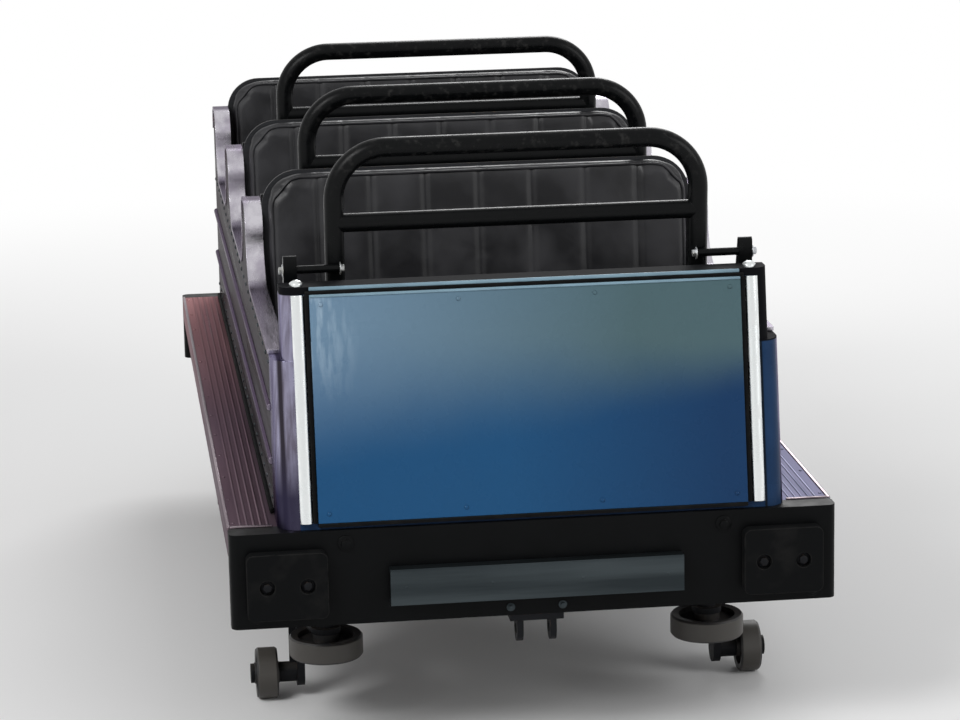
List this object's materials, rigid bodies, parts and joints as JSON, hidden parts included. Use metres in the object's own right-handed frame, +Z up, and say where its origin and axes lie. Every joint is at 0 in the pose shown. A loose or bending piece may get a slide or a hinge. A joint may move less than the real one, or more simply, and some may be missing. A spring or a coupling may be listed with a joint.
{
  "type": "roller coaster car",
  "caption": "Open wooden-coaster car with benches for riders sitting side by side, hinged hoop lap bars, a plain sign board on its nose, and road, guide and upstop wheels at its corners.",
  "frame": {"origin": "midway along the car between the bumper plate's face and the drawbar's end, on the middle plane, at the height of the upstop wheels' lowest point", "axes": "+X to the car's front, +Y to the car's left, +Z up"},
  "size_m": [2.792, 1.35, 1.3688],
  "materials": {
    "frame_paint": "worn satin black paint on welded steel",
    "forged_steel": "bare forged steel, greasy",
    "runner_steel": "steel polished by the brakes",
    "beam_paint": "gloss black paint",
    "buffer_rubber": "dull moulded rubber",
    "bumper_aluminium": "scuffed mill finish",
    "wheel_iron": "machined tread, painted web",
    "wheel_nylon": "dull cast nylon on a steel hub",
    "tub_paint": "worn black floor paint",
    "tread_plate": "polished plate, brushed by shoes",
    "side_aluminium": "polished sheet",
    "moulding_aluminium": "bright polished moulding",
    "nose_paint": "gloss deep blue paint",
    "sign_enamel": "gloss enamel, blue fading to pale teal",
    "seat_wood": "black painted plywood",
    "seat_vinyl": "black grained vinyl over foam",
    "bar_paint": "gloss black paint on tube"
  },
  "bodies": {
    "car": {"frame_rails": "frame_paint", "cross_members": "frame_paint", "tow_bracket": "frame_paint", "drawbar": "frame_paint", "dog_brackets": "frame_paint", "axle_front": "frame_paint", "axle_rear": "frame_paint", "carrier_front_left": "frame_paint", "carrier_front_right": "frame_paint", "carrier_rear_left": "frame_paint", "carrier_rear_right": "frame_paint", "brake_runners": "runner_steel", "front_beam": "beam_paint", "rear_beam": "beam_paint", "buffer_pads": "buffer_rubber", "bumper_plate": "bumper_aluminium", "foot_tub": "tub_paint", "running_board_left": "tread_plate", "running_board_right": "tread_plate", "side_left": "side_aluminium", "side_right": "side_aluminium", "side_mouldings": "moulding_aluminium", "sign_strips": "moulding_aluminium", "nose_shell": "nose_paint", "rear_panel": "nose_paint", "sign_board": "sign_enamel", "seat_bases": "seat_wood", "seat_boards": "seat_wood", "seat_cushion_1": "seat_vinyl", "seat_cushion_2": "seat_vinyl", "seat_cushion_3": "seat_vinyl", "back_pad_1": "seat_vinyl", "back_pad_2": "seat_vinyl", "back_pad_3": "seat_vinyl", "bar_brackets": "bar_paint"},
    "road_wheel_front_left": {"road_wheel_front_left": "wheel_iron"},
    "guide_wheel_front_left": {"guide_wheel_front_left": "wheel_nylon"},
    "upstop_wheel_front_left": {"upstop_wheel_front_left": "wheel_nylon"},
    "road_wheel_front_right": {"road_wheel_front_right": "wheel_iron"},
    "guide_wheel_front_right": {"guide_wheel_front_right": "wheel_nylon"},
    "upstop_wheel_front_right": {"upstop_wheel_front_right": "wheel_nylon"},
    "road_wheel_rear_left": {"road_wheel_rear_left": "wheel_iron"},
    "guide_wheel_rear_left": {"guide_wheel_rear_left": "wheel_nylon"},
    "upstop_wheel_rear_left": {"upstop_wheel_rear_left": "wheel_nylon"},
    "road_wheel_rear_right": {"road_wheel_rear_right": "wheel_iron"},
    "guide_wheel_rear_right": {"guide_wheel_rear_right": "wheel_nylon"},
    "upstop_wheel_rear_right": {"upstop_wheel_rear_right": "wheel_nylon"},
    "lap_bar_1": {"lap_bar_1": "bar_paint"},
    "lap_bar_2": {"lap_bar_2": "bar_paint"},
    "lap_bar_3": {"lap_bar_3": "bar_paint"},
    "chain_dog": {"chain_dog": "forged_steel"},
    "rollback_dog": {"rollback_dog": "forged_steel"}
  },
  "joints": [
    {"name": "road_wheel_front_left_spin", "type": "hinge", "parent": "car", "child": "road_wheel_front_left", "pos_m": [0.866, 0.5755, 0.36], "axis": [0, 1, 0], "continuous": true},
    {"name": "guide_wheel_front_left_spin", "type": "hinge", "parent": "car", "child": "guide_wheel_front_left", "pos_m": [1.031, 0.4455, 0.175], "axis": [0, 0, 1], "continuous": true},
    {"name": "upstop_wheel_front_left_spin", "type": "hinge", "parent": "car", "child": "upstop_wheel_front_left", "pos_m": [0.866, 0.5755, 0.06], "axis": [0, 1, 0], "continuous": true},
    {"name": "road_wheel_front_right_spin", "type": "hinge", "parent": "car", "child": "road_wheel_front_right", "pos_m": [0.866, -0.5755, 0.36], "axis": [0, 1, 0], "continuous": true},
    {"name": "guide_wheel_front_right_spin", "type": "hinge", "parent": "car", "child": "guide_wheel_front_right", "pos_m": [1.031, -0.4455, 0.175], "axis": [0, 0, 1], "continuous": true},
    {"name": "upstop_wheel_front_right_spin", "type": "hinge", "parent": "car", "child": "upstop_wheel_front_right", "pos_m": [0.866, -0.5755, 0.06], "axis": [0, 1, 0], "continuous": true},
    {"name": "road_wheel_rear_left_spin", "type": "hinge", "parent": "car", "child": "road_wheel_rear_left", "pos_m": [-0.734, 0.5755, 0.36], "axis": [0, 1, 0], "continuous": true},
    {"name": "guide_wheel_rear_left_spin", "type": "hinge", "parent": "car", "child": "guide_wheel_rear_left", "pos_m": [-0.899, 0.4455, 0.175], "axis": [0, 0, 1], "continuous": true},
    {"name": "upstop_wheel_rear_left_spin", "type": "hinge", "parent": "car", "child": "upstop_wheel_rear_left", "pos_m": [-0.734, 0.5755, 0.06], "axis": [0, 1, 0], "continuous": true},
    {"name": "road_wheel_rear_right_spin", "type": "hinge", "parent": "car", "child": "road_wheel_rear_right", "pos_m": [-0.734, -0.5755, 0.36], "axis": [0, 1, 0], "continuous": true},
    {"name": "guide_wheel_rear_right_spin", "type": "hinge", "parent": "car", "child": "guide_wheel_rear_right", "pos_m": [-0.899, -0.4455, 0.175], "axis": [0, 0, 1], "continuous": true},
    {"name": "upstop_wheel_rear_right_spin", "type": "hinge", "parent": "car", "child": "upstop_wheel_rear_right", "pos_m": [-0.734, -0.5755, 0.06], "axis": [0, 1, 0], "continuous": true},
    {"name": "lap_bar_1_fold", "type": "hinge", "parent": "car", "child": "lap_bar_1", "pos_m": [1.11786, 0, 0.88], "axis": [0, -1, 0], "range_deg": [0, 72]},
    {"name": "lap_bar_2_fold", "type": "hinge", "parent": "car", "child": "lap_bar_2", "pos_m": [0.32786, 0, 0.88], "axis": [0, -1, 0], "range_deg": [0, 72]},
    {"name": "lap_bar_3_fold", "type": "hinge", "parent": "car", "child": "lap_bar_3", "pos_m": [-0.46214, 0, 0.88], "axis": [0, -1, 0], "range_deg": [0, 72]},
    {"name": "chain_dog_lift", "type": "hinge", "parent": "car", "child": "chain_dog", "pos_m": [-0.274, 0, 0.3], "axis": [0, 1, 0], "range_deg": [0, 32]},
    {"name": "rollback_dog_lift", "type": "hinge", "parent": "car", "child": "rollback_dog", "pos_m": [-0.514, 0, 0.3], "axis": [0, 1, 0], "range_deg": [0, 32]}
  ]
}
